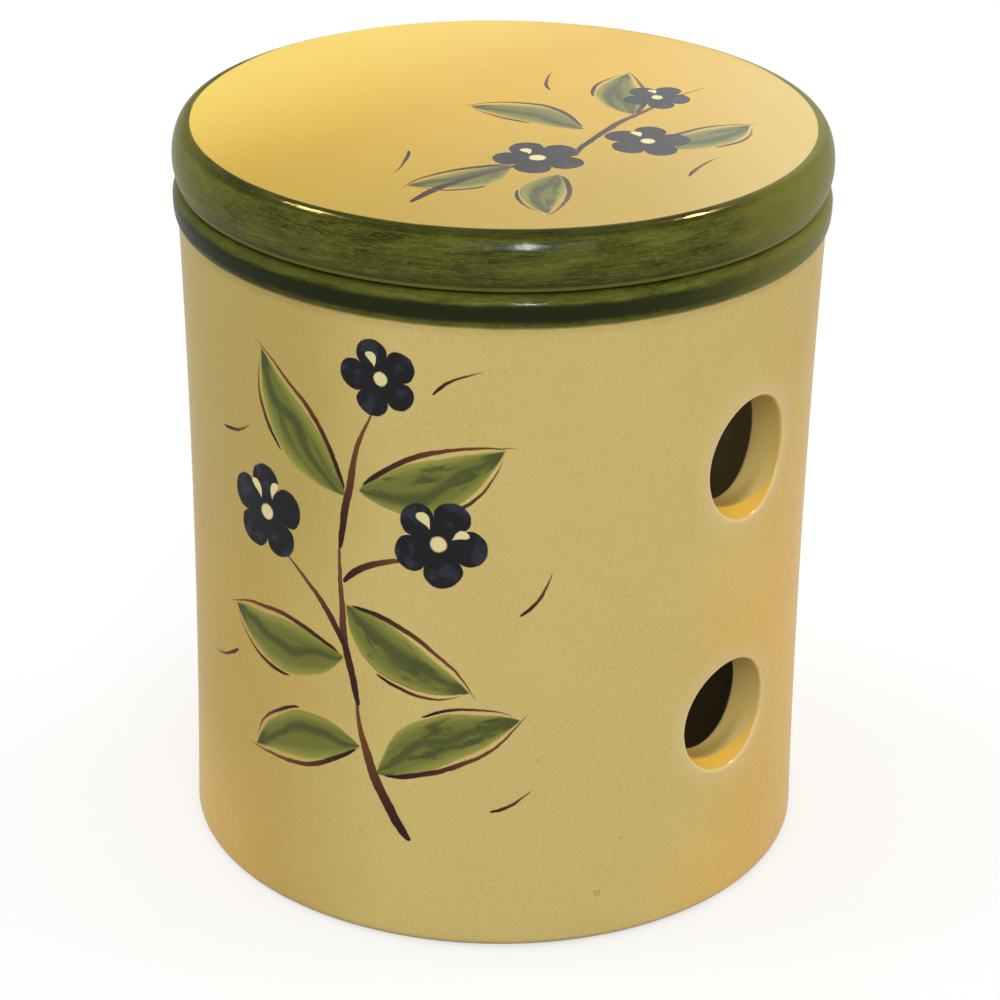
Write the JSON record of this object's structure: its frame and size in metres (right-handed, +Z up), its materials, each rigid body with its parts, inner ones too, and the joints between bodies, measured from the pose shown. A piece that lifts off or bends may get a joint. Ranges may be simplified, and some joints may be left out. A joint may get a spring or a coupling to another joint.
{
  "type": "garlic keeper",
  "caption": "Round glazed earthenware keeper with vent holes through its sides, a rolled bead at the mouth and a flat lid located by a ring inside it.",
  "frame": {"origin": "middle of the foot, on the surface that the jar stands on", "axes": "+Z up along the jar's axis; the painted front faces -Y; the vent holes open towards +X and -X"},
  "size_m": [0.1204, 0.1204, 0.1401],
  "materials": {
    "jar_glaze": "glossy clear glaze over speckled straw-yellow slip, with a brushed olive-green band round the bead, painted sprays on the front and a bare clay foot ring",
    "lid_glaze": "glossy clear glaze over straw-yellow slip on the panel, with a brushed olive-green rim and a bare clay land underneath"
  },
  "bodies": {
    "jar": {"jar": "jar_glaze"},
    "lid": {"lid": "lid_glaze"}
  },
  "joints": [
    {"name": "lid_lift", "type": "slide", "parent": "jar", "child": "lid", "axis": [0, 0, 1], "range_m": [0, 0.1]}
  ]
}
